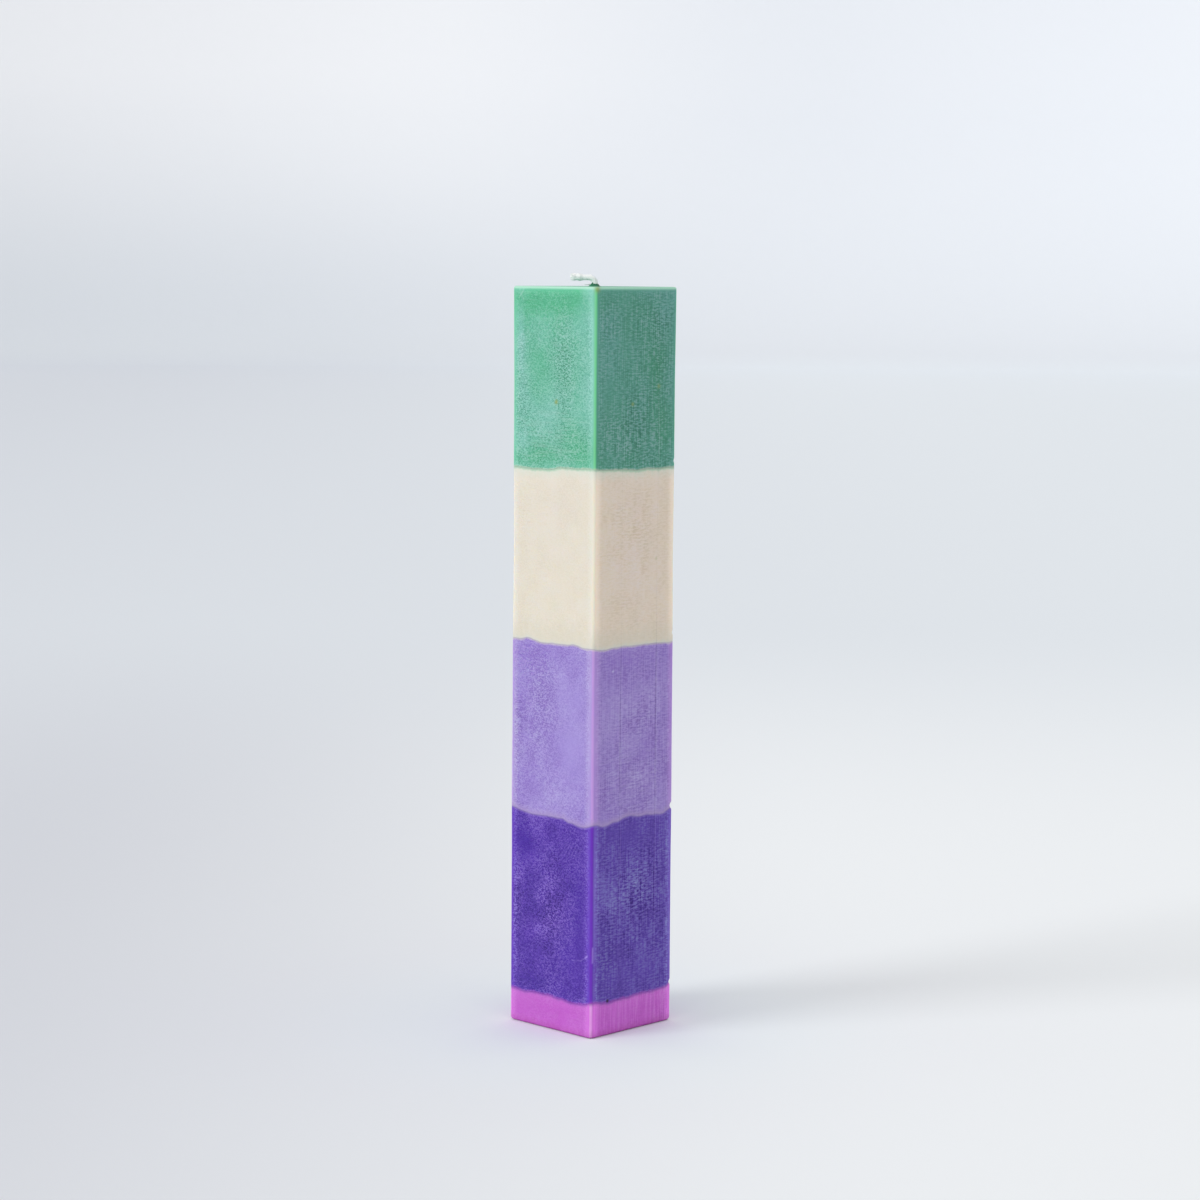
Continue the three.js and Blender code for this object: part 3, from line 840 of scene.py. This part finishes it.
# Violet wax
# The fourth pour and the deepest dyed, cast on the lavender and fused to it. The frost of crystals shows
# most on it.
VIOLET_MAGENTA_LEVEL = 11.7
VIOLET_MAGENTA_SWELLS = [
    (-33, -0.5, 6), (-9, -0.7, 8), (1, 0.7, 6), (9, -0.5, 7), (25, 0.4, 9), (41, 1.2, 8), (68, -0.5, 14),
    (103, 0.5, 13), (-20.5, 0.2, 2.5), (-16.5, -0.3, 3), (-2.5, -0.3, 2.5), (6.5, 0.3, 1.5), (11, 0.25, 3),
    (18, -0.25, 2), (34, 0.35, 5), (39.3, 0.8, 1.8),
]
violet_magenta_joint = joint_surface(VIOLET_MAGENTA_LEVEL, VIOLET_MAGENTA_SWELLS, seed=24)
violet = cast_pour(
    "violet_wax_layer", violet_magenta_joint, lavender_violet_joint, VIOLET_MAGENTA_LEVEL,
    LAVENDER_VIOLET_LEVEL, under_rings=JOINT_RINGS, over_rings=JOINT_RINGS, patchy=0.55,
    frost=[
        (140, 42, 30, 60, -0.28), (143, 44, 5, 10, 0.4), (134, 33, 6, 7, 0.3), (122.5, 50, 2, 20, 0.12),
        (148, 18, 5, 4, 0.05), (146, 32, 3, 9, -0.2), (124, 64, 5, 7, -0.3), (34, 64, 5, 7, 0.15),
        (153, 47, 4, 12, -0.35), (127, 66, 3, 7, -0.3), (135, 15, 12, 3, -0.3), (134, 68, 10, 4, 0.1),
        (20, 40, 22, 40, 0.35), (23, 55, 9, 9, 0.18), (6, 48, 6, 14, 0.4), (4, 58, 3, 10, 0.2),
        (7, 29, 4, 7, -0.3), (20, 68, 10, 4, -0.25),
    ],
    coarse=[
        (141, 42, 6, 16, 0.7), (127, 62, 7, 8, -0.4), (147, 28, 5, 12, -0.3), (155, 44, 3, 20, -0.3),
        (123, 42, 3, 12, 0.5), (22, 48, 9, 12, 0.7), (9, 42, 5, 10, 0.2), (20, 20, 16, 6, -0.2),
        (20, 69, 20, 5, -0.35),
    ],
)
violet.data.materials.append(cast_wax(
    "violet_wax", VIOLET, frost=(0.122, 0.036, 0.455, 1), rim=(0.17, 0.016, 0.51, 1),
    edge=(1.6, 2.3, 1.28, 1), shaded_side_tint=(1.16, 2.15, 1.03, 1), glow=(0.7, 0.4, 1.0), scale=0.8,
    foot_bleed_and_shade=[(MAGENTA, 1.0, 0.45)], head_bleed=[(LAVENDER, 0.8, 0.4)], contrast=1.5, upright_share=0.4,
    combed_light=0.48, ripples=0.7, crystal=(0.66, 0.5, 1.0, 1), hollow=(0.55, 0.55, 0.6, 1),
    shaded_side_edge_glow=(1.1, 0.99, 1.03, 1),
))

# Magenta wax
# The last pour, a thin band of dyed wax at the open end of the mould, fused to the violet. It was levelled
# off to make the foot that the candle stands on.
FOOT_EDGE_RADIUS = 1.15
FOOT_RINGS = 24


def foot_surface(place, inward):
    """The foot lies level, at no height at all."""
    return 0 * place


magenta = cast_pour(
    "magenta_wax_foot", foot_surface, violet_magenta_joint, 0.0, VIOLET_MAGENTA_LEVEL,
    under_rings=FOOT_RINGS, over_rings=JOINT_RINGS, rolled=[(0.0, FOOT_EDGE_RADIUS)],
    frost=[(140, 6, 30, 8, -0.15)], coarse=[(140, 6, 30, 12, -0.35)],
)
magenta.data.materials.append(cast_wax(
    "magenta_wax", MAGENTA, frost=(0.55, 0.15, 0.60, 1), rim=(0.79, 0.39, 0.78, 1),
    edge=(1.17, 1.5, 1.15, 1), shaded_side_tint=(1.15, 1.1, 1.12, 1), glow=(1.0, 0.4, 1.0), scale=1.4,
    # Along the floor the foot's bleeds are painted contact shade, darkest in the lowest millimetre
    foot_bleed_and_shade=[((0.34, 0.03, 0.28, 1), 3.6, 0.42), ((0.2, 0.0, 0.12, 1), 0.9, 0.5)],
    head_bleed=[((0.38, 0.10, 0.47, 1), 1.6, 0.5), (VIOLET, 0.8, 0.4)], contrast=0.7, upright_share=0.8,
))

# Wick
# One cotton braid through all five waxes, soaked in wax as they were cast round it. Above the nib it was
# bent over by hand and cut, and its end has opened into a tuft.
WICK_RADIUS = 0.95
WICK_FOOT = 0.5
WICK_BEND_FOOT = 255.65
WICK_BEND_RADIUS = 2.3
WICK_BEND = math.radians(88)
WICK_BEARING = math.radians(135)
WICK_FREE_LENGTH = 2.4
TUFT_LENGTH = 4.0
OPEN_START = 1.4
WICK_SIDES = 64
BURIED_ROWS = 24
OPEN_ROWS = 130
STRANDS = 8
BRAID_PITCH = 8.5
BRAID_DEPTH = 0.12
TIP_ROUNDING = 1.1
FIBRE_RADIUS = 0.075

# Puffs of the opened tip: swelling as a share of the wick's radius, distance before the end, and reach
PUFFS = [(0.3, 3.1, 0.85), (0.32, 1.3, 0.9)]

# Fibre ends: how far before the end of the wick, how widely spread, how many, and how far they belly out
TUFTS = [(3.0, 0.5, 150, 0.35), (1.2, 0.4, 170, 0.35), (6.5, 2.5, 40, 0.12)]
FIBRE_SETBACK = 0.7
FIBRE_TURN = (-0.9, 0.9)
FIBRE_SEAT = (0.7, 1.0)
FIBRE_STRAY = (-0.3, 0.3)
FIBRE_LENGTH = (0.9, 1.7)
FIBRE_BELLY = (0.2, 1.0)
FIBRE_SIDES = 5
FIBRE_CUTS = 6
FIBRE_TAPER = 0.5
FIBRE_SEED = 5

# The lock under the bend: where it leaves the wick, how far out it ends, and how it fans out and strays
LOCK_FIBRES = 26
LOCK_SEAT = 0.7
LOCK_BREADTH = (-0.5, 0.5)
LOCK_ROOT_RISE = (-0.1, 0.2)
LOCK_REACH = (2.6, 4.0)
LOCK_FANNING = 1.3
LOCK_STRAY = (-0.3, 0.3)
LOCK_TIP_RISE = (-0.1, 0.3)
LOCK_BELLY = (-0.2, 0.2)

upright_length = WICK_BEND_FOOT - WICK_FOOT
bend_length = WICK_BEND * WICK_BEND_RADIUS
wick_length = upright_length + bend_length + WICK_FREE_LENGTH + TUFT_LENGTH
open_length = bend_length + WICK_FREE_LENGTH + TUFT_LENGTH + OPEN_START
wick = bmesh.new()
bmesh.ops.create_cone(wick, cap_ends=True, segments=WICK_SIDES, radius1=1, radius2=1, depth=1)
uprights = [edge for edge in wick.edges if abs(edge.verts[0].co.z - edge.verts[1].co.z) > 0.5]
bmesh.ops.subdivide_edges(wick, edges=uprights, cuts=BURIED_ROWS + OPEN_ROWS - 1, use_grid_fill=True)
ends = [face for face in wick.faces if abs(face.normal.z) > 0.5]
bmesh.ops.inset_region(wick, faces=ends, thickness=0.5)
for vertex in wick.verts:
    row = round((vertex.co.z + 0.5) * (BURIED_ROWS + OPEN_ROWS))
    buried = min(row, BURIED_ROWS) / BURIED_ROWS
    opened = max(row - BURIED_ROWS, 0) / OPEN_ROWS
    along = buried * (wick_length - open_length) + opened * open_length
    angle = math.atan2(vertex.co.y, vertex.co.x)
    twist = 2 * math.pi * along / BRAID_PITCH
    over = max(abs(math.cos(STRANDS / 2 * (angle - twist))), abs(math.cos(STRANDS / 2 * (angle + twist))))
    before_end = wick_length - along
    opening = max(0, 1 - before_end / TUFT_LENGTH)
    puff = sum(swell * math.exp(-((before_end - middle) / reach) ** 2) for swell, middle, reach in PUFFS)
    rounding = math.sqrt(max(0.03, 1 - max(0, 1 - before_end / TIP_ROUNDING) ** 2))
    thickness = WICK_RADIUS * (1 - BRAID_DEPTH + BRAID_DEPTH * over * (1 - opening) + puff) * rounding
    reach = thickness * min(1, math.hypot(vertex.co.x, vertex.co.y))
    vertex.co = (reach * math.cos(angle), reach * math.sin(angle), along)

# Ends of fibres: two puffs at the tip, some loose ones along the wick, and one lock under its bend
dice = np.random.default_rng(FIBRE_SEED)
fibres = []
for centre, spread, count, belly in TUFTS:
    for _ in range(count):
        side = dice.uniform(0, 2 * math.pi)
        turn = side + dice.uniform(*FIBRE_TURN)
        seat = dice.uniform(*FIBRE_SEAT)
        reach = seat + dice.uniform(*FIBRE_STRAY)
        root = wick_length - centre + dice.uniform(-spread, spread) - FIBRE_SETBACK
        length = dice.uniform(*FIBRE_LENGTH)
        fibres.append((
            Vector((seat * math.cos(side), seat * math.sin(side), root)),
            Vector((reach * math.cos(turn), reach * math.sin(turn), min(root + length, wick_length))),
            Vector((math.cos(side), math.sin(side), 0)) * belly * dice.uniform(*FIBRE_BELLY),
        ))
for _ in range(LOCK_FIBRES):
    side = dice.uniform(*LOCK_BREADTH)
    fibres.append((
        Vector((LOCK_SEAT, side, upright_length + dice.uniform(*LOCK_ROOT_RISE))),
        Vector((
            dice.uniform(*LOCK_REACH),
            LOCK_FANNING * side + dice.uniform(*LOCK_STRAY),
            upright_length + dice.uniform(*LOCK_TIP_RISE),
        )),
        Vector((0, 0, dice.uniform(*LOCK_BELLY))),
    ))

# Each fibre is a thin closed cone along its own curve, added to the wick before that is bent
fibre_mesh = bpy.data.meshes.new("fibre")
for root, tip, belly in fibres:
    run = (tip - root).normalized()
    flank = run.orthogonal().normalized()
    back = run.cross(flank)
    fibre = bmesh.new()
    bmesh.ops.create_cone(
        fibre, cap_ends=True, segments=FIBRE_SIDES, radius1=1, radius2=FIBRE_TAPER, depth=1,
    )
    uprights = [edge for edge in fibre.edges if abs(edge.verts[0].co.z - edge.verts[1].co.z) > 0.5]
    bmesh.ops.subdivide_edges(fibre, edges=uprights, cuts=FIBRE_CUTS, use_grid_fill=True)
    for vertex in fibre.verts:
        share = vertex.co.z + 0.5
        centre = root.lerp(tip, share) + belly * math.sin(math.pi * share)
        vertex.co = centre + FIBRE_RADIUS * (flank * vertex.co.x + back * vertex.co.y)
    fibre.to_mesh(fibre_mesh)
    fibre.free()
    wick.from_mesh(fibre_mesh)
bpy.data.meshes.remove(fibre_mesh)
bmesh.ops.recalc_face_normals(wick, faces=wick.faces)

outwards = Vector((math.cos(WICK_BEARING), math.sin(WICK_BEARING), 0))
sideways = Vector((0, 0, 1)).cross(outwards)
for vertex in wick.verts:
    past = max(0, vertex.co.z - upright_length)
    lean = min(past / WICK_BEND_RADIUS, WICK_BEND)
    beyond = max(0, past - bend_length)
    out = WICK_BEND_RADIUS * (1 - math.cos(lean)) + beyond * math.sin(WICK_BEND)
    out += vertex.co.x * math.cos(lean)
    up = WICK_BEND_RADIUS * math.sin(lean) + beyond * math.cos(WICK_BEND)
    up -= vertex.co.x * math.sin(lean)
    up += WICK_FOOT + min(vertex.co.z, upright_length)
    bent = outwards * out + sideways * vertex.co.y + Vector((0, 0, up))
    bent.z = min(bent.z, CAD_BOX[1][2] / MM - HAIR)
    vertex.co = bent * MM
wick_mesh = bpy.data.meshes.new("waxed_wick")
wick.to_mesh(wick_mesh)
wick.free()
wick_mesh.polygons.foreach_set("use_smooth", [True] * len(wick_mesh.polygons))
waxed_wick = bpy.data.objects.new("waxed_wick", wick_mesh)
bpy.context.scene.collection.objects.link(waxed_wick)
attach(waxed_wick, "root")
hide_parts("cotton_wick")

COTTON = (0.97, 0.97, 0.965, 1)
BRIGHT_COTTON = (1.0, 1.0, 0.995, 1)
WAXED_COTTON = (0.86, 0.88, 0.87, 1)
GREEN_ROOT = (0.33, 0.56, 0.43, 1)
ROOT_LEVEL = 254.9
ROOT_FADE_LEVEL = 256.2
YARN_GRAIN = 4200
SOAKED_GRAIN = 900
COTTON_SHEEN = 1.0
YARN_BUMP = 0.04

cotton = bpy.data.materials.new("waxed_cotton")
cotton.use_nodes = True
tree = cotton.node_tree
place = add_node(tree, "ShaderNodeTexCoord", output="Object")
height = add_node(tree, "ShaderNodeSeparateXYZ", {0: place}, "Z")
yarn = add_node(tree, "ShaderNodeTexNoise", {"Vector": place, "Scale": YARN_GRAIN, "Detail": 2.0})
soaked = add_node(tree, "ShaderNodeTexNoise", {"Vector": place, "Scale": SOAKED_GRAIN, "Detail": 1.0})
near_root = ramp(tree, height, ROOT_LEVEL * MM, ROOT_FADE_LEVEL * MM, low=0.8, high=0.0)
colour = blend(tree, ramp(tree, yarn, 0.35, 0.65), COTTON, BRIGHT_COTTON)
colour = blend(tree, ramp(tree, soaked, 0.5, 0.7, high=0.1), colour, WAXED_COTTON)
colour = blend(tree, near_root, colour, GREEN_ROOT)
shader = tree.nodes["Principled BSDF"]
tree.links.new(colour, shader.inputs["Base Color"])
tree.links.new(ramp(tree, soaked, 0.4, 0.7, low=0.8, high=0.5), shader.inputs["Roughness"])
shader.inputs["Sheen Weight"].default_value = COTTON_SHEEN
bump = {"Strength": 0.5, "Distance": YARN_BUMP * MM, "Height": yarn}
tree.links.new(add_node(tree, "ShaderNodeBump", bump), shader.inputs["Normal"])
wick_mesh.materials.append(cotton)
